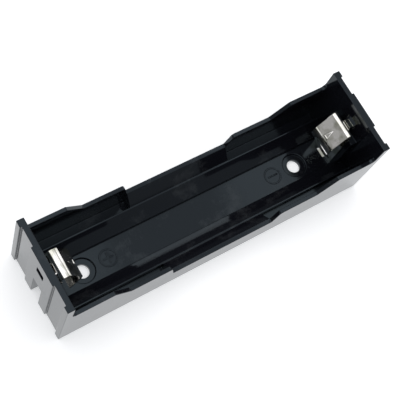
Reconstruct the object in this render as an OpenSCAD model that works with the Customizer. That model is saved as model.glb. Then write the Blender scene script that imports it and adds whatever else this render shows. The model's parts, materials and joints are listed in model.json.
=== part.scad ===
// Single-cell holder: an open moulded tray for one cylindrical cell, with a
// folded spring contact at each end. X runs along the cell, with the negative
// end at +X. The tray stands on Z = 0 and is centred on X = Y = 0.

/* [Tray] */
// Length of the tray over its end pads, at mid height
tray_l = 77; // [74:0.5:80]
// How much each end leans outwards from the bottom to the top
end_draft = 0.45; // [0:0.05:0.6]
// Width over the side walls
tray_w = 20.25; // [20:0.05:22]
// Height of the end walls
end_h = 20.2; // [19:0.1:22]
// Thickness of the side walls
side_t = 0.9; // [0.8:0.05:0.95]
// Thickness of the end walls behind their recesses, at the top
end_t = 1.2; // [1:0.1:1.6]
// Thickness of the floor under the cell
floor_t = 1.5; // [1.2:0.1:1.7]

/* [Side walls] */
// Height of the side walls beside the end walls
shoulder_h = 14.6; // [13:0.1:16]
// Height of the side walls beside the finger cut-out
saddle_h = 10.8; // [10:0.1:12]
// Height of the side walls in the finger cut-out
grip_h = 7.0; // [6:0.1:8]
// Distance from the middle to the top of the ramp
ramp_top_x = 27.5; // [26:0.1:30]
// Distance from the middle to the foot of the ramp
ramp_foot_x = 23.2; // [20:0.1:25]
// Distance from the middle to the foot of the cut-out's end
grip_x = 12.45; // [10:0.05:15]
// Lean of the cut-out's ends, in degrees from upright
grip_lean = 16; // [0:1:30]
// Radius of the cut-out's upper corners
corner_r = 0.8; // [0.3:0.1:1]
// Radius of the fillet between the side walls and the corner posts
post_r = 1.2; // [0.5:0.1:1.5]

/* [Cradle] */
// Diameter of the cell bay
bay_d = 18.4; // [18.2:0.1:18.4]
// Height of the cell's axis
axis_z = 10.8; // [10.7:0.1:11]
// Half width of the flat channel along the floor
channel_y = 3.5; // [3:0.1:4]
// Height of the cradle's rims
rim_z = 4.4; // [4:0.1:5]
// Width of the flat on each rim
rim_t = 0.3; // [0.2:0.05:0.5]
// Height of the bottom of the relief pockets beside the rims
pocket_z = 2.5; // [2:0.1:3]

/* [Ends] */
// Width of the raised pad on each end
pad_w = 8.5; // [8:0.1:10]
// Width of each corner post along Y
post_w = 1.5; // [1.2:0.1:2]
// Depth of the recesses between the pad and the posts
recess_t = 0.45; // [0.2:0.05:0.5]
// Width of the wire channel under each pad
wire_w = 3.0; // [2.6:0.1:3.4]
// Depth of the wire channel
wire_t = 1.9; // [1:0.05:2]
// Height of the wire channel
wire_h = 8.5; // [6:0.5:10]
// Thickness of the seat behind each contact
seat_t = 1.75; // [1.5:0.05:2]
// Height of the seats
seat_h = 13; // [11:0.1:13.2]
// Width of the latch window in each end wall
window_w = 2.4; // [2.3:0.1:3]
// Height of the window's lower edge
window_z = 14.6; // [14.5:0.1:15]
// Height of the window
window_h = 2.1; // [2:0.1:2.5]
// Depth of the solder pocket under the floor at each contact's tail
solder_t = 0.8; // [0.3:0.1:1]

/* [Fixing and marks] */
// Distance between the two fixing holes
hole_pitch = 54.5; // [50:0.1:58]
// Diameter of the fixing holes
hole_d = 3.1; // [2.8:0.1:3.4]
// Diameter of the counterbores
bore_d = 5.4; // [5:0.1:6]
// Depth of the counterbores
bore_t = 0.5; // [0.4:0.05:0.9]
// Width of the chamfer round each counterbore
bore_lead = 0.15; // [0.05:0.05:0.3]
// Distance from the middle to each polarity mark
mark_x = 21.2; // [18:0.1:23]
// Outer diameter of the polarity marks
mark_d = 4.0; // [3:0.1:5]
// Height of the polarity marks above the floor
mark_t = 0.15; // [0.1:0.05:0.3]

/* [Contacts] */
// Width of the contact strip
strip_w = 6.2; // [5.6:0.1:6.4]
// Thickness of the contact strip
strip_t = 0.35; // [0.3:0.05:0.4]
// Radius of the fold at the top, at mid thickness
fold_r = 0.85; // [0.5:0.05:0.9]
// Height of the fold's centre
fold_z = 15.3; // [15.1:0.05:16]
// Lean of the leaf below the fold, in degrees from upright
leaf_lean = 35; // [30:1:38]
// Length of the straight part of the leaf
leaf_l = 4.1; // [4.1:0.05:4.6]
// Radius of the leaf's bow, at mid thickness
bow_r = 3.2; // [2.5:0.1:3.5]
// Length of the straight part below the bow
toe_l = 3.2; // [2:0.1:4]
// Width of the tail that goes down through the floor
tail_w = 2.1; // [2:0.1:2.1]
// Length of the rising part of the latch bent out of the back
latch_l = 1.35; // [1.2:0.05:1.5]
// Length of the latch's level end, which reaches into the window
latch_end_l = 0.75; // [0.6:0.05:1]

/* [Hidden] */
$fn = 64;
eps = 0.01;
// How far joined shapes run into each other, and cuts run out past a face
sink = 0.5;
clear = 2;

side_y = tray_w / 2;
inner_y = side_y - side_t;
top_x = tray_l / 2 + end_draft / 2;
foot_x = tray_l / 2 - end_draft / 2;
inner_x = top_x - recess_t - end_t;
inner_lean = 0.15;
seat_x = inner_x - seat_t;
bay_r = bay_d / 2;
rim_y = sqrt(bay_r * bay_r - (axis_z - rim_z) * (axis_z - rim_z));
grip_top_x = grip_x + (saddle_h - grip_h) * tan(grip_lean);

// Slot in the floor for a contact's tail
slot_w = 2.4;
slot_x0 = seat_x - 0.8;
slot_x1 = seat_x + 0.05;

// Cores under the bed, with ribs between them
rib_t = 1.4;
core_y0 = channel_y + 1.1;
core_y1 = rim_y - 0.3;
core_low = 1.4;
core_high = 3.2;
core_mid = (grip_x + inner_x) / 2;
core_end = inner_x - 1.5;

// Polarity marks
mark_line = 0.3;
mark_bar_l = 0.6 * mark_d;

// Contact, drawn along the middle of its strip
fit = 0.02;
back_lean = 0.2;
back_slope = back_lean / seat_h;
function strip_at(z) = seat_x + back_slope * z - fit - strip_t / 2;
fold_x = strip_at(fold_z) - fold_r;
bend_a = 180 - leaf_lean;
leaf_top = [fold_x + fold_r * cos(bend_a), fold_z + fold_r * sin(bend_a)];
leaf_dir = [-sin(leaf_lean), -cos(leaf_lean)];
leaf_end = leaf_top + leaf_l * leaf_dir;
bow_c = leaf_end + bow_r * [cos(leaf_lean), -sin(leaf_lean)];
toe_lean = 30;
toe_top = bow_c - bow_r * [cos(toe_lean), sin(toe_lean)];
toe_end = toe_top + toe_l * [sin(toe_lean), -cos(toe_lean)];
tail_z = 0.25;
latch_z = 14.35;
latch_rise = 22;
dart_start = 1.25;
dart_l = 2.75;
dart_w = 1.5;
dart_h = 0.45;

// Half of the side wall's outline, with its corners still sharp
function half_outline() = [
    [0, 0],
    [foot_x - recess_t - sink, 0],
    [inner_x + sink, shoulder_h],
    [ramp_top_x, shoulder_h],
    [ramp_foot_x, saddle_h],
    [grip_top_x, saddle_h],
    [grip_x, grip_h],
    [0, grip_h]
];

// Turns a drawing in X and Z upright and gives it a depth along Y
module upright(depth) {
    rotate([90, 0, 0])
        linear_extrude(height = depth, center = true)
            children();
}

// Turns a drawing in Y and Z upright and gives it a length along X
module lengthwise(length) {
    rotate([90, 0, 90])
        linear_extrude(height = length, center = true)
            children();
}

module both_ends() {
    children();
    mirror([1, 0, 0])
        children();
}

module both_sides() {
    children();
    mirror([0, 1, 0])
        children();
}

// Cut that rounds the cut-out's upper corner, touching its end and the top
module corner_cut() {
    run = corner_r * tan(45 - grip_lean / 2);
    top = [grip_top_x + run, saddle_h];
    centre = top - [0, corner_r];
    foot = [grip_top_x - run * sin(grip_lean), saddle_h - run * cos(grip_lean)];
    difference() {
        polygon([
            [grip_top_x - clear, saddle_h + eps],
            top + [0, eps],
            centre,
            foot,
            foot - [clear, 0]
        ]);
        translate(centre)
            circle(r = corner_r);
    }
}

// Fillet where the wall meets the corner post
module post_fillet() {
    difference() {
        translate([inner_x - post_r, shoulder_h - eps])
            square([post_r + sink, post_r]);
        translate([inner_x - post_r, shoulder_h + post_r])
            circle(r = post_r);
    }
}

// Outline of one half of a side wall
module wall_outline() {
    difference() {
        polygon(half_outline());
        corner_cut();
    }
    post_fillet();
}

module side_walls() {
    both_sides()
        translate([0, side_y - side_t / 2, 0])
            upright(side_t)
                union() {
                    wall_outline();
                    mirror([1, 0])
                        wall_outline();
                }
}

// End wall as one leaning slab, before its recesses and openings are cut
module end_wall() {
    upright(tray_w)
        polygon([
            [inner_x - inner_lean, 0],
            [foot_x, 0],
            [top_x, end_h],
            [inner_x, end_h]
        ]);
    // Seat behind the contact's back, leaning with it
    upright(pad_w)
        polygon([
            [seat_x, 0],
            [inner_x + eps, 0],
            [inner_x + eps, seat_h],
            [seat_x + back_lean, seat_h]
        ]);
}

// Recess between a pad and a post, leaning with the end wall
module end_recess() {
    y0 = pad_w / 2;
    y1 = side_y - post_w;
    translate([0, (y0 + y1) / 2, 0])
        upright(y1 - y0)
            polygon([
                [foot_x - recess_t, -eps],
                [foot_x + clear, -eps],
                [top_x + clear, end_h + eps],
                [top_x - recess_t, end_h + eps]
            ]);
}

module end_openings() {
    both_sides()
        end_recess();
    // Wire channel, open at the bottom
    translate([foot_x - wire_t, -wire_w / 2, -eps])
        cube([wire_t + clear, wire_w, wire_h]);
    // Latch window
    translate([inner_x - sink, -window_w / 2, window_z])
        cube([2 * clear, window_w, window_h]);
    // Slot in the floor for the contact's tail
    translate([slot_x0, -slot_w / 2, -eps])
        cube([slot_x1 - slot_x0, slot_w, floor_t + 2 * eps]);
    // Pocket under the slot where the wire is soldered to the tail
    translate([slot_x0 - sink, -wire_w / 2, -eps])
        cube([foot_x - slot_x0, wire_w, solder_t + eps]);
}

// Half of the bed's section: its top steps up to the side wall in the middle
// of the tray and drops into a pocket beside the rim nearer the ends
function bed_half(top) = concat(
    [[0, 0], [inner_y + eps, 0]],
    top,
    [[rim_y + rim_t, rim_z], [0, rim_z]]
);

module bed() {
    middle = [[inner_y + eps, grip_h], [inner_y, grip_h]];
    ends = [[inner_y + eps, pocket_z], [rim_y + rim_t, pocket_z]];
    both_sides() {
        lengthwise(2 * grip_x)
            polygon(bed_half(middle));
        lengthwise(2 * inner_x)
            polygon(bed_half(ends));
    }
}

// Bed with the round bay for the cell and the flat channel along its bottom
module cradle() {
    difference() {
        bed();
        translate([0, 0, axis_z])
            rotate([0, 90, 0])
                cylinder(h = tray_l, r = bay_r, center = true);
        translate([-tray_l / 2, -channel_y, floor_t])
            cube([tray_l, 2 * channel_y, axis_z]);
    }
}

// Troughs under the bed that keep its walls evenly thick
module underside() {
    spans = [
        [rib_t / 2, grip_x - rib_t / 2],
        [grip_x + rib_t / 2, core_mid - rib_t / 2],
        [core_mid + rib_t / 2, core_end]
    ];
    for (span = spans)
        both_ends()
            both_sides()
                translate([(span[0] + span[1]) / 2, 0, 0])
                    lengthwise(span[1] - span[0])
                        polygon([
                            [core_y0, -eps],
                            [core_y1, -eps],
                            [core_y1, core_high],
                            [core_y0, core_low]
                        ]);
}

// Screw hole with a counterbore for the head and a chamfer round its edge
module fixing_hole() {
    translate([hole_pitch / 2, 0, 0]) {
        translate([0, 0, -eps])
            cylinder(h = floor_t + clear, d = hole_d);
        translate([0, 0, floor_t - bore_t])
            cylinder(h = bore_t + clear, d = bore_d);
        translate([0, 0, floor_t - bore_lead])
            cylinder(h = 2 * bore_lead, d1 = bore_d, d2 = bore_d + 4 * bore_lead);
    }
}

module ring_mark() {
    translate([0, 0, floor_t - eps])
        linear_extrude(height = mark_t + eps)
            difference() {
                circle(d = mark_d);
                circle(d = mark_d - 2 * mark_line);
            }
}

module bar_mark(turn) {
    rotate(turn)
        translate([0, 0, floor_t + mark_t / 2])
            cube([mark_bar_l, mark_line, mark_t + eps], center = true);
}

module housing() {
    color("#26282b")
        union() {
            difference() {
                union() {
                    side_walls();
                    both_ends()
                        end_wall();
                    cradle();
                }
                both_ends()
                    end_openings();
                both_ends()
                    fixing_hole();
                underside();
            }
            translate([-mark_x, 0, 0]) {
                ring_mark();
                bar_mark(0);
                bar_mark(90);
            }
            translate([mark_x, 0, 0]) {
                ring_mark();
                bar_mark(0);
            }
        }
}

// Bent part of the strip: a ring sector about a centre, from angle a0 to a1
module strip_bend(centre, r, a0, a1) {
    reach = 3 * r;
    translate(centre)
        intersection() {
            difference() {
                circle(r = r + strip_t / 2);
                circle(r = r - strip_t / 2);
            }
            polygon(concat(
                [[0, 0]],
                [for (a = [a0, (a0 + a1) / 2, a1]) reach * [cos(a), sin(a)]]
            ));
        }
}

// Straight part of the strip between two points, running a hair into the
// bends at its ends so that they join
module strip_run(p0, p1) {
    along = (p1 - p0) / norm(p1 - p0);
    side = strip_t / 2 * [-along[1], along[0]];
    lap = eps * along;
    polygon([p0 - side - lap, p0 + side - lap, p1 + side + lap, p1 - side + lap]);
}

// Dart pressed out of the leaf towards the cell
module dart() {
    start = leaf_top + dart_start * leaf_dir;
    face = strip_t / 2;
    translate([start[0], 0, start[1]])
        rotate([0, 90 + leaf_lean, 0])
            mirror([0, 0, 1])
                intersection() {
                    translate([0, 0, -face])
                        linear_extrude(height = dart_h + strip_t)
                            polygon([[0, 0], [dart_l, -dart_w / 2], [dart_l, dart_w / 2]]);
                    upright(dart_w + 1)
                        polygon([
                            [0, -face],
                            [dart_l, -face],
                            [dart_l, face + dart_h],
                            [0, face - fit]
                        ]);
                }
}

// Latch bent out of the back: it rises, then runs level into the end window
module latch() {
    root = [strip_at(latch_z), latch_z];
    knee = root + latch_l * [cos(latch_rise), sin(latch_rise)];
    upright(tail_w)
        union() {
            strip_run(root, knee);
            strip_run(knee, knee + [latch_end_l, 0]);
        }
}

// Contact at the +X end; its back stands against the end wall's seat
module contact() {
    back_foot = [strip_at(floor_t), floor_t + fit];
    back_top = [strip_at(fold_z), fold_z];
    gap_l = latch_l + latch_end_l;
    difference() {
        upright(strip_w)
            union() {
                strip_run(back_foot, back_top);
                strip_bend([fold_x, fold_z], fold_r, 0, bend_a);
                strip_run(leaf_top, leaf_end);
                strip_bend(bow_c, bow_r, 180 - leaf_lean, 180 + toe_lean);
                strip_run(toe_top, toe_end);
            }
        // Gap left in the back where the latch is bent out
        translate([seat_x - clear / 2, -tail_w / 2, latch_z - strip_t / 4 - gap_l])
            cube([clear, tail_w, gap_l]);
    }
    upright(tail_w)
        strip_run([strip_at(tail_z), tail_z], back_foot);
    latch();
    dart();
}

module negative_contact() {
    color("#d9d6cc")
        contact();
}

module positive_contact() {
    color("#d9d6cc")
        mirror([1, 0, 0])
            contact();
}

housing();
positive_contact();
negative_contact();
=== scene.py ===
import json
import math

import bmesh
import bpy
from mathutils import Matrix, Vector

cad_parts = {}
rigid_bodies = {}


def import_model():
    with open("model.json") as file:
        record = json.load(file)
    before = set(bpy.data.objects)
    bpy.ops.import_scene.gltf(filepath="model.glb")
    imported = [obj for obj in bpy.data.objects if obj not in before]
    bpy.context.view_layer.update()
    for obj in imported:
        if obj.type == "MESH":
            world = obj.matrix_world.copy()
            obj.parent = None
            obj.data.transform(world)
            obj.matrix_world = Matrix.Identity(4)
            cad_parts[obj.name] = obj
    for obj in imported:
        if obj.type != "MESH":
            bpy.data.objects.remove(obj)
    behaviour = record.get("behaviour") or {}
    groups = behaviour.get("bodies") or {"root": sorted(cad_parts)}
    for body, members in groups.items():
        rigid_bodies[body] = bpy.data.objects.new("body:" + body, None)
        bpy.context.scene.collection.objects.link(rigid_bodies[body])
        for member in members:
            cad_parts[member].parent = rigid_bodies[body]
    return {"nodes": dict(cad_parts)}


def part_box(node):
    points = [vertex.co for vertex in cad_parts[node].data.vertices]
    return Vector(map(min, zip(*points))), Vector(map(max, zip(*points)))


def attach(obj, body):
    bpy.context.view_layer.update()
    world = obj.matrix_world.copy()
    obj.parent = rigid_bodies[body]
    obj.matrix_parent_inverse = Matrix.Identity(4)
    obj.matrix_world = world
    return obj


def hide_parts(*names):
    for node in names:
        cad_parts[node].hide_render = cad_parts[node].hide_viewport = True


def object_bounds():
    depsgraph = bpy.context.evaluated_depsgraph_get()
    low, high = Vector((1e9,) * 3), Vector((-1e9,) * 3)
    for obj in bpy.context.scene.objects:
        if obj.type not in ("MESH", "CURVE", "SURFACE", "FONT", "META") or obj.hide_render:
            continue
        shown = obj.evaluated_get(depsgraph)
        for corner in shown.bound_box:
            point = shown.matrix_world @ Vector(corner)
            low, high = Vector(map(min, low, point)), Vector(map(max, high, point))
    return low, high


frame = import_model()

MM = 0.001
cad_box = [list(corner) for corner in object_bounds()]
low, high = (Vector(corner) for corner in cad_box)
LENGTH = high.x - low.x


# ---------------------------------------------------------------- camera

VIEW_AZIMUTH = math.radians(-61.229)
VIEW_ELEVATION = math.radians(64.445)
VIEW_ROLL = math.radians(32.448)
VIEW_DISTANCE = 2.81 * LENGTH
VIEW_LENS = 93.37
VIEW_SENSOR = 36
VIEW_NEAREST = 10 * MM
VIEW_AIM = Vector((0.47 * MM, 0.90 * MM, 8.0 * MM))


def add_camera():
    """Looks down into the tray from its positive end, turned about the line of sight."""
    back = Vector((
        math.sin(VIEW_AZIMUTH) * math.cos(VIEW_ELEVATION),
        -math.cos(VIEW_AZIMUTH) * math.cos(VIEW_ELEVATION),
        math.sin(VIEW_ELEVATION),
    ))
    level = Vector((0, 0, 1)).cross(back).normalized()
    rise = back.cross(level)
    right = math.cos(VIEW_ROLL) * level + math.sin(VIEW_ROLL) * rise
    up = back.cross(right)
    data = bpy.data.cameras.new("view")
    data.lens = VIEW_LENS
    data.sensor_width = VIEW_SENSOR
    data.clip_start = VIEW_NEAREST
    camera = bpy.data.objects.new("view", data)
    bpy.context.scene.collection.objects.link(camera)
    turn = Matrix((right, up, back)).transposed().to_4x4()
    camera.matrix_world = Matrix.Translation(VIEW_AIM + back * VIEW_DISTANCE) @ turn
    bpy.context.scene.camera = camera


# ---------------------------------------------------------------- shaping

# An edge that turns by more than this is rounded, in this many steps
SHARP_ANGLE = math.radians(30)
ROUND_STEPS = 2
# Radius on thin details, as a share of the radius elsewhere
FINE_SHARE = 0.55
# How strongly the large faces rule the shading, in percent
FLAT_WEIGHT = 80
# Points closer together than this are one point
SAME_PLACE = 0.001 * MM


def only(piece):
    """Makes one piece the only selected object and the active one, or selects nothing."""
    for other in bpy.context.view_layer.objects:
        other.select_set(False)
    if piece:
        piece.select_set(True)
        bpy.context.view_layer.objects.active = piece


def edit(piece):
    """Opens one piece in edit mode."""
    only(piece)
    bpy.ops.object.mode_set(mode="EDIT")


def pick(piece, wanted, kind="EDGE"):
    """In edit mode, selects the edges or faces for which wanted(element) is true."""
    bpy.ops.mesh.select_mode(type=kind)
    bpy.ops.mesh.select_all(action="DESELECT")
    mesh = bmesh.from_edit_mesh(piece.data)
    elements = mesh.edges if kind == "EDGE" else mesh.faces
    for element in elements:
        if wanted(element):
            element.select_set(True)
    bmesh.update_edit_mesh(piece.data)


def apply_modifiers(piece):
    """Applies all of a piece's modifiers, in their order."""
    only(piece)
    for modifier in list(piece.modifiers):
        bpy.ops.object.modifier_apply(modifier=modifier.name)


def round_edges(piece, radius, fine=None):
    """Rounds the sharp edges; those for which fine(edge) is true get a smaller radius."""
    def sharp(edge):
        return edge.is_manifold and edge.calc_face_angle(0) > SHARP_ANGLE

    edit(piece)
    pick(piece, lambda e: sharp(e) and not (fine and fine(e)))
    bpy.ops.transform.edge_bevelweight(value=1)
    if fine:
        pick(piece, lambda e: sharp(e) and fine(e))
        bpy.ops.transform.edge_bevelweight(value=FINE_SHARE)
    bpy.ops.object.mode_set(mode="OBJECT")
    bevel = piece.modifiers.new("rounded_edges", "BEVEL")
    bevel.width = radius
    bevel.segments = ROUND_STEPS
    bevel.limit_method = "WEIGHT"
    bevel.use_clamp_overlap = False
    bevel.miter_outer = "MITER_ARC"
    apply_modifiers(piece)


def shade_evenly(piece, smooth_angle):
    """Smooths what turns by less than an angle, and keeps flat faces looking flat."""
    bpy.ops.object.shade_smooth_by_angle(angle=smooth_angle)
    weighted = piece.modifiers.new("even_shading", "WEIGHTED_NORMAL")
    weighted.keep_sharp = True
    weighted.weight = FLAT_WEIGHT
    apply_modifiers(piece)


# ---------------------------------------------------------------- tray

# Radius of the moulded edges
EDGE_R = 0.12 * MM
# The CAD mesh is loose triangles: corners this close are joined, and facets that turn
# by less than this angle are merged
CORNER_GAP = 0.03 * MM
FACET_ANGLE = math.radians(0.5)
TRAY_SMOOTH_ANGLE = math.radians(35)
# Where the raised marks and the fixing holes lie, on both sides of the middle
DETAIL_X = (18.8 * MM, 30.6 * MM)
DETAIL_HALF_W = 3.2 * MM
DETAIL_TOP = 1.9 * MM
# Where the cradle's rims lie
RIM_Y = (6.0 * MM, 9.0 * MM)
RIM_Z = (3.8 * MM, 6.9 * MM)


def thin_detail(edge):
    """True for the edges of the fixing holes, the raised marks and the cradle's rims."""
    spot = (edge.verts[0].co + edge.verts[1].co) / 2
    across = abs(spot.y)
    at_detail = DETAIL_X[0] < abs(spot.x) < DETAIL_X[1] and across < DETAIL_HALF_W
    on_rim = RIM_Y[0] < across < RIM_Y[1] and RIM_Z[0] < spot.z < RIM_Z[1]
    return (at_detail and spot.z < DETAIL_TOP) or on_rim


def moulded_tray():
    """The tray's own mesh, merged, with every moulded edge rounded."""
    node = frame["nodes"]["housing"]
    piece = bpy.data.objects.new("tray", node.data.copy())
    bpy.context.scene.collection.objects.link(piece)
    piece.data.materials.clear()
    edit(piece)
    bpy.ops.mesh.select_all(action="SELECT")
    bpy.ops.mesh.remove_doubles(threshold=CORNER_GAP)
    bpy.ops.mesh.dissolve_limited(angle_limit=FACET_ANGLE)
    bpy.ops.object.mode_set(mode="OBJECT")
    round_edges(piece, EDGE_R, thin_detail)
    shade_evenly(piece, TRAY_SMOOTH_ANGLE)
    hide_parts("housing")
    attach(piece, "root")
    return piece


# ---------------------------------------------------------------- contacts

STRIP_T = 0.35 * MM
STRIP_EDGE_R = 0.06 * MM
SPRING_SMOOTH_ANGLE = math.radians(20)
TAIL_W = 2.1 * MM
FLOOR_T = 1.5 * MM
# How far the back leans out for each unit of height, as the drafted end wall does
BACK_SLOPE = 0.0156
# How far above the floor the back starts, and above the CAD tail's end the tail ends
FOOT_GAP = 0.02 * MM
TAIL_GAP = 0.01 * MM

FOLD_R = 0.85 * MM
FOLD_STEPS = 18
LEAF_L = 4.1 * MM
LEAF_LEAN = math.radians(35)
BOW_R = 3.2 * MM
BOW_STEPS = 14
TOE_L = 3.2 * MM
TOE_LEAN = math.radians(30)

# The CAD latch, which gives the place of the back
LATCH_L = 1.35 * MM
LATCH_END_L = 0.75 * MM
LATCH_Z = 14.35 * MM
LATCH_RISE = math.radians(22)

# The dart starts this far below the fold; its rim stands up and its middle dips again
DART_START = 0.95 * MM
DART_L = 3.05 * MM
DART_W = 1.5 * MM
DART_EDGE = 0.13 * MM
DART_LIFT = 0.10 * MM
DART_DIP = 0.08 * MM

# Slack of a cut's plane, and of the test that finds the faces of the back
CUT_SLACK = 0.0001 * MM
BACK_SLACK = 0.01 * MM

contact_low, contact_high = (Vector(corner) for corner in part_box("negative_contact"))
LATCH_X = contact_high.x - LATCH_END_L - LATCH_L * math.cos(LATCH_RISE)
FOLD_Z = contact_high.z - FOLD_R - STRIP_T / 2
TAIL_Z = contact_low.z + TAIL_GAP
HALF_STRIP = contact_high.y


def back_x(z):
    """Where the leaning back of a contact stands at a height."""
    return LATCH_X + BACK_SLOPE * (z - LATCH_Z)


LEAF_OUT = Vector((-math.cos(LEAF_LEAN), 0, math.sin(LEAF_LEAN)))
LEAF_DOWN = Vector((-math.sin(LEAF_LEAN), 0, -math.cos(LEAF_LEAN)))
TOE_DOWN = Vector((math.sin(TOE_LEAN), 0, -math.cos(TOE_LEAN)))
LEAF_TOP = Vector((back_x(FOLD_Z) - FOLD_R, 0, FOLD_Z)) + FOLD_R * LEAF_OUT
BENT_IN = Vector((0.4 * MM, 0, 0))

# The two contacts, both as they would stand at the negative end. flare is the lean of
# the back's top towards the end wall. The latch leaves the back at latch_z, rises at
# latch_rise for latch_l and ends in latch_end.
CONTACT_FORMS = {
    "negative_contact": {
        "fold_r": FOLD_R,
        "flare": 0.0,
        "leaf_top": LEAF_TOP,
        "latch_z": LATCH_Z,
        "latch_rise": math.radians(24),
        "latch_l": 1.12 * MM,
        "latch_end": Vector((0.97 * MM, 0, 0)),
    },
    "positive_contact": {
        "fold_r": 1.4 * MM,
        "flare": math.radians(35),
        "leaf_top": LEAF_TOP - BENT_IN,
        "latch_z": 12.6 * MM,
        "latch_rise": math.radians(50),
        "latch_l": 2.75 * MM,
        "latch_end": Vector((-0.45 * MM, 0, 1.5 * MM)),
    },
}


def grow(offset):
    """Extrudes the selected edges and moves the new ones."""
    bpy.ops.mesh.extrude_region_move(TRANSFORM_OT_translate={"value": offset})


def bend(centre, angle, steps):
    """Carries the selected end of the strip round a centre."""
    bpy.ops.mesh.spin(steps=steps, angle=angle, center=centre, axis=(0, 1, 0))


def cut(point, normal):
    """Cuts what is selected along a plane."""
    bpy.ops.mesh.bisect(plane_co=point, plane_no=normal, threshold=CUT_SLACK)


def cut_faces(piece, wanted, point, normal):
    """Cuts only the faces for which wanted(face) is true."""
    pick(piece, wanted, "FACE")
    cut(point, normal)


def on_leaf(face, leaf_top):
    """True for the faces of the flat leaf between the fold and the bow."""
    away = face.calc_center_median() - leaf_top
    along = away.dot(LEAF_DOWN)
    in_plane = abs(away.dot(LEAF_OUT)) < SAME_PLACE
    return in_plane and -SAME_PLACE < along < LEAF_L + SAME_PLACE


def on_back(face):
    """True for the faces of the upright back above the floor."""
    spot = face.calc_center_median()
    return abs(spot.x - back_x(spot.z)) < BACK_SLACK and FLOOR_T < spot.z < FOLD_Z


def middle_edge(point):
    """Test for the edge that crosses the strip at a point, only as wide as the tail."""
    def test(edge):
        a, b = (v.co for v in edge.verts)
        crosses = abs(a.x - b.x) < CUT_SLACK and abs(a.z - b.z) < CUT_SLACK
        here = abs(a.x - point.x) < SAME_PLACE and abs(a.z - point.z) < SAME_PLACE
        return crosses and here and abs(a.y + b.y) < SAME_PLACE
    return test


def bent_strip(foot, fold_r, flare, leaf_top):
    """Sheet along the middle of the strip: back, fold, leaf, bow and toe. With a flare
    the back's top leans out to the end wall, so that the fold is wider."""
    fold_c = leaf_top - fold_r * LEAF_OUT
    bow_c = leaf_top + LEAF_L * LEAF_DOWN - BOW_R * LEAF_OUT
    fold_start = fold_c + fold_r * Vector((math.cos(flare), 0, -math.sin(flare)))
    top = fold_start.copy()
    if flare:
        rise = (fold_start.x - back_x(fold_start.z)) / math.tan(flare)
        top = Vector((back_x(fold_start.z - rise), 0, fold_start.z - rise))
    only(None)
    bpy.ops.mesh.primitive_plane_add(size=2 * HALF_STRIP, location=(0, 0, 0))
    piece = bpy.context.object
    edit(piece)
    pick(piece, lambda e: all(v.co.x < 0 for v in e.verts))
    bpy.ops.mesh.select_all(action="INVERT")
    bpy.ops.mesh.delete(type="EDGE")
    bpy.ops.mesh.select_all(action="SELECT")
    bpy.ops.transform.translate(value=foot + Vector((HALF_STRIP, 0, 0)))
    grow(top - foot)
    if flare:
        grow(fold_start - top)
    bend(fold_c, math.pi - LEAF_LEAN + flare, FOLD_STEPS)
    grow(LEAF_L * LEAF_DOWN)
    bend(bow_c, LEAF_LEAN + TOE_LEAN, BOW_STEPS)
    grow(TOE_L * TOE_DOWN)
    bpy.ops.mesh.select_all(action="SELECT")
    bpy.ops.mesh.remove_doubles(threshold=SAME_PLACE)
    for side in (-1, 1):
        bpy.ops.mesh.select_all(action="SELECT")
        cut((0, side * TAIL_W / 2, 0), (0, 1, 0))
    return piece


def free_latch(piece, root_z, rise, slope_l, end):
    """Cuts the latch's gap in the back, then grows the latch from the gap's top."""
    root = Vector((back_x(root_z), 0, root_z))
    gap_end = root_z - slope_l - end.length
    cut_faces(piece, on_back, root, (0, 0, 1))
    cut_faces(piece, on_back, (0, 0, gap_end), (0, 0, 1))

    def in_gap(face):
        spot = face.calc_center_median()
        return on_back(face) and abs(spot.y) < TAIL_W / 2 and gap_end < spot.z < root_z

    pick(piece, in_gap, "FACE")
    bpy.ops.mesh.delete(type="ONLY_FACE")
    pick(piece, middle_edge(root))
    grow(slope_l * Vector((math.cos(rise), 0, math.sin(rise))))
    grow(end)


def drop_tail(piece, foot):
    """Grows the tail from the back's foot down through the floor."""
    pick(piece, middle_edge(foot))
    grow(Vector((back_x(TAIL_Z), 0, TAIL_Z)) - foot)


def press_dart(piece, leaf_top):
    """Presses a triangular dart with a raised rim out of the leaf towards the cell."""
    start = leaf_top + DART_START * LEAF_DOWN
    end = start + DART_L * LEAF_DOWN

    def leaf(face):
        return on_leaf(face, leaf_top)

    def in_dart(face):
        away = face.calc_center_median() - start
        along = away.dot(LEAF_DOWN)
        return leaf(face) and 0 < along < DART_L and abs(away.y) < along * DART_W / DART_L / 2

    cut_faces(piece, leaf, start, LEAF_DOWN)
    cut_faces(piece, leaf, end, LEAF_DOWN)
    for side in (-1, 1):
        leg = end + Vector((0, side * DART_W / 2, 0)) - start
        cut_faces(piece, leaf, start, leg.cross(LEAF_OUT))
    pick(piece, in_dart, "FACE")
    bpy.ops.mesh.inset(thickness=DART_EDGE)
    bpy.ops.transform.translate(value=DART_LIFT * LEAF_OUT)
    bpy.ops.mesh.inset(thickness=DART_EDGE)
    bpy.ops.transform.translate(value=-DART_DIP * LEAF_OUT)


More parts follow.
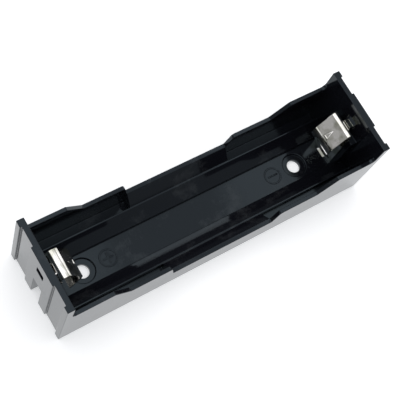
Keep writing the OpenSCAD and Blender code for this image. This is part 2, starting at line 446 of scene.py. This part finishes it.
def leaf_spring(node):
    """One contact, bent up at the negative end; the positive one is mirrored."""
    form = CONTACT_FORMS[node]
    foot = Vector((back_x(FLOOR_T), 0, FLOOR_T + FOOT_GAP))
    piece = bent_strip(foot, form["fold_r"], form["flare"], form["leaf_top"])
    piece.name = node.replace("contact", "spring")
    free_latch(piece, form["latch_z"], form["latch_rise"], form["latch_l"], form["latch_end"])
    drop_tail(piece, foot)
    press_dart(piece, form["leaf_top"])
    bpy.ops.mesh.select_all(action="SELECT")
    if node == "positive_contact":
        bpy.ops.transform.mirror(constraint_axis=(True, False, False), center_override=(0, 0, 0))
    bpy.ops.mesh.remove_doubles(threshold=SAME_PLACE)
    bpy.ops.mesh.normals_make_consistent(inside=False)
    bpy.ops.object.mode_set(mode="OBJECT")
    thick = piece.modifiers.new("strip_thickness", "SOLIDIFY")
    thick.thickness = STRIP_T
    thick.offset = 0
    thick.use_even_offset = True
    apply_modifiers(piece)
    round_edges(piece, STRIP_EDGE_R)
    shade_evenly(piece, SPRING_SMOOTH_ANGLE)
    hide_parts(node)
    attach(piece, "root")
    return piece


# ---------------------------------------------------------------- materials

# Sockets of a Mix node that blends colours
MIX_SHARE = 0
MIX_A = 6
MIX_B = 7
MIX_RESULT = 2

# Black plastic where it is clean and where it is rubbed
PLASTIC_IOR = 1.40
PLASTIC_SHEEN = (0.70, 0.88, 1.0, 1)
CLEAN_BLACK = (0.0052, 0.0055, 0.0080, 1)
RUBBED_BLACK = (0.030, 0.032, 0.036, 1)
CLEAN_ROUGHNESS = 0.09
RUBBED_ROUGHNESS = 0.26

# Nickel where it is dull and where it is bright
DULL_NICKEL = (0.50, 0.50, 0.43, 1)
BRIGHT_NICKEL = (0.90, 0.885, 0.86, 1)
NICKEL_ROUGHNESS = (0.07, 0.15)


def new_material(name):
    """A node material with its nodes, its links and its shader."""
    material = bpy.data.materials.new(name)
    material.use_nodes = True
    nodes = material.node_tree.nodes
    return material, nodes, material.node_tree.links, nodes["Principled BSDF"]


def noise(nodes, links, scale, detail=3.0, roughness=0.5):
    """Noise on Object coordinates; scale is in cells per metre."""
    place = nodes.new("ShaderNodeTexCoord")
    texture = nodes.new("ShaderNodeTexNoise")
    texture.inputs["Scale"].default_value = scale
    texture.inputs["Detail"].default_value = detail
    texture.inputs["Roughness"].default_value = roughness
    links.new(place.outputs["Object"], texture.inputs["Vector"])
    return texture.outputs["Fac"]


def span(nodes, links, value, low_out, high_out, low_in=0.3, high_in=0.7):
    """Carries a value from one range to another."""
    step = nodes.new("ShaderNodeMapRange")
    step.inputs["From Min"].default_value = low_in
    step.inputs["From Max"].default_value = high_in
    step.inputs["To Min"].default_value = low_out
    step.inputs["To Max"].default_value = high_out
    links.new(value, step.inputs["Value"])
    return step.outputs["Result"]


def two_tone(nodes, links, share, first, second):
    """Blends two colours by a share from 0 to 1."""
    tone = nodes.new("ShaderNodeMix")
    tone.data_type = "RGBA"
    tone.inputs[MIX_A].default_value = first
    tone.inputs[MIX_B].default_value = second
    links.new(share, tone.inputs[MIX_SHARE])
    return tone.outputs[MIX_RESULT]


def bump(nodes, links, height, strength, depth, over=None):
    """Surface relief from a height, on top of another relief if one is given."""
    relief = nodes.new("ShaderNodeBump")
    relief.inputs["Strength"].default_value = strength
    relief.inputs["Distance"].default_value = depth
    links.new(height, relief.inputs["Height"])
    if over:
        links.new(over, relief.inputs["Normal"])
    return relief.outputs["Normal"]


def moulded_black():
    """Glossy black plastic with a faint grain and the odd rubbed, dusty patch."""
    material, nodes, links, shader = new_material("moulded_black")
    shader.inputs["IOR"].default_value = PLASTIC_IOR
    shader.inputs["Specular Tint"].default_value = PLASTIC_SHEEN
    patches = noise(nodes, links, scale=150, detail=7, roughness=0.68)
    rubbed = span(nodes, links, patches, 0, 1, low_in=0.56, high_in=0.78)
    colour = two_tone(nodes, links, rubbed, CLEAN_BLACK, RUBBED_BLACK)
    matt = span(nodes, links, rubbed, CLEAN_ROUGHNESS, RUBBED_ROUGHNESS, low_in=0, high_in=1)
    waves = noise(nodes, links, scale=500, detail=2)
    wavy = bump(nodes, links, waves, strength=0.06, depth=0.05 * MM)
    grains = noise(nodes, links, scale=4000, detail=2)
    grained = bump(nodes, links, grains, strength=0.10, depth=0.01 * MM, over=wavy)
    links.new(colour, shader.inputs["Base Color"])
    links.new(matt, shader.inputs["Roughness"])
    links.new(grained, shader.inputs["Normal"])
    return material


def nickel_plate():
    """Bright nickel plate, a little dull in patches and not quite even."""
    material, nodes, links, shader = new_material("nickel_plate")
    shader.inputs["Metallic"].default_value = 1.0
    patches = noise(nodes, links, scale=300, detail=4)
    bright = span(nodes, links, patches, 0, 1, low_in=0.40, high_in=0.56)
    colour = two_tone(nodes, links, bright, DULL_NICKEL, BRIGHT_NICKEL)
    shine = span(nodes, links, noise(nodes, links, scale=1500), *NICKEL_ROUGHNESS)
    dents = noise(nodes, links, scale=330, detail=1.5)
    uneven = bump(nodes, links, dents, strength=0.35, depth=0.08 * MM)
    links.new(colour, shader.inputs["Base Color"])
    links.new(shine, shader.inputs["Roughness"])
    links.new(uneven, shader.inputs["Normal"])
    return material


# ---------------------------------------------------------------- studio

TABLE_SIZE = 6.0
TABLE_GAP = 0.02 * MM
TABLE_COLOUR = (0.84, 0.84, 0.85, 1)
TABLE_ROUGHNESS = 0.9
TABLE_GLOW_COLOUR = (0.96, 0.98, 1.0, 1)
# Glow of the table, as the camera sees it and as glossy surfaces mirror it
TABLE_GLOW_TO_CAMERA = 0.45
TABLE_GLOW_TO_GLOSS = 0.62
ROOM_COLOUR = (1, 1, 1, 1)
ROOM_LIGHT = 0.36

# Softboxes that face straight down: x, height, width, radiance
OVERHEAD_SOFTBOXES = {
    "near_softbox": (-0.34, 1.0, 1.24, 1.13),
    "far_softbox": (0.70, 1.0, 0.9, 0.5),
    "strip_softbox": (0.51, 0.98, 0.12, 0.62),
}
OVERHEAD_Y = 0.1
OVERHEAD_L = 1.4
# Low softboxes that face the tray: place, width
LOW_SOFTBOXES = {
    "side_softbox": ((0.4, 1.0, 0.45), 1.4),
    "right_softbox": ((1.1, 0.2, 0.35), 1.2),
}
LOW_SOFTBOX_H = 0.5
LOW_SOFTBOX_RADIANCE = 1.0


def add_floor():
    """Pale matt table just under the tray, which keeps the shadow."""
    only(None)
    bpy.ops.mesh.primitive_plane_add(size=TABLE_SIZE, location=(0, 0, low.z - TABLE_GAP))
    floor = bpy.context.object
    floor.name = "studio_floor"
    material, nodes, links, shader = new_material("pale_table")
    shader.inputs["Base Color"].default_value = TABLE_COLOUR
    shader.inputs["Roughness"].default_value = TABLE_ROUGHNESS
    shader.inputs["Specular IOR Level"].default_value = 0.0
    shader.inputs["Emission Color"].default_value = TABLE_GLOW_COLOUR
    path = nodes.new("ShaderNodeLightPath")
    glossy = nodes.new("ShaderNodeMath")
    glossy.operation = "MULTIPLY"
    links.new(path.outputs["Is Glossy Ray"], glossy.inputs[0])
    glossy.inputs[1].default_value = TABLE_GLOW_TO_GLOSS
    seen = nodes.new("ShaderNodeMath")
    seen.operation = "MULTIPLY_ADD"
    links.new(path.outputs["Is Camera Ray"], seen.inputs[0])
    seen.inputs[1].default_value = TABLE_GLOW_TO_CAMERA
    links.new(glossy.outputs["Value"], seen.inputs[2])
    links.new(seen.outputs["Value"], shader.inputs["Emission Strength"])
    floor.data.materials.append(material)


def add_lamp(name, place, aim, width, depth, radiance):
    """Rectangular soft lamp; its power follows from the brightness of its face."""
    data = bpy.data.lights.new(name, "AREA")
    data.shape = "RECTANGLE"
    data.size = width
    data.size_y = depth
    data.energy = radiance * math.pi * width * depth
    lamp = bpy.data.objects.new(name, data)
    bpy.context.scene.collection.objects.link(lamp)
    lamp.location = place
    lamp.rotation_euler = (Vector(place) - Vector(aim)).to_track_quat("Z", "Y").to_euler()


def light_studio():
    """An even room, three softboxes overhead that the plastic mirrors, and two low ones,
    behind the tray and beyond its negative end."""
    world = bpy.data.worlds.new("studio")
    bpy.context.scene.world = world
    world.use_nodes = True
    back = world.node_tree.nodes["Background"]
    back.inputs["Color"].default_value = ROOM_COLOUR
    back.inputs["Strength"].default_value = ROOM_LIGHT
    for name, (x, z, width, radiance) in OVERHEAD_SOFTBOXES.items():
        add_lamp(name, (x, OVERHEAD_Y, z), (x, OVERHEAD_Y, 0), width, OVERHEAD_L, radiance)
    for name, (place, width) in LOW_SOFTBOXES.items():
        add_lamp(name, place, (0, 0, 0), width, LOW_SOFTBOX_H, LOW_SOFTBOX_RADIANCE)


# ---------------------------------------------------------------- build

add_camera()
plastic = moulded_black()
nickel = nickel_plate()
for name, node in frame["nodes"].items():
    for slot in node.material_slots:
        slot.link = "OBJECT"
        slot.material = plastic if name == "housing" else nickel
tray = moulded_tray()
tray.data.materials.append(plastic)
for node_name in CONTACT_FORMS:
    spring = leaf_spring(node_name)
    spring.data.materials.append(nickel)
add_floor()
light_studio()

scene = bpy.context.scene
scene.view_settings.view_transform = "Standard"
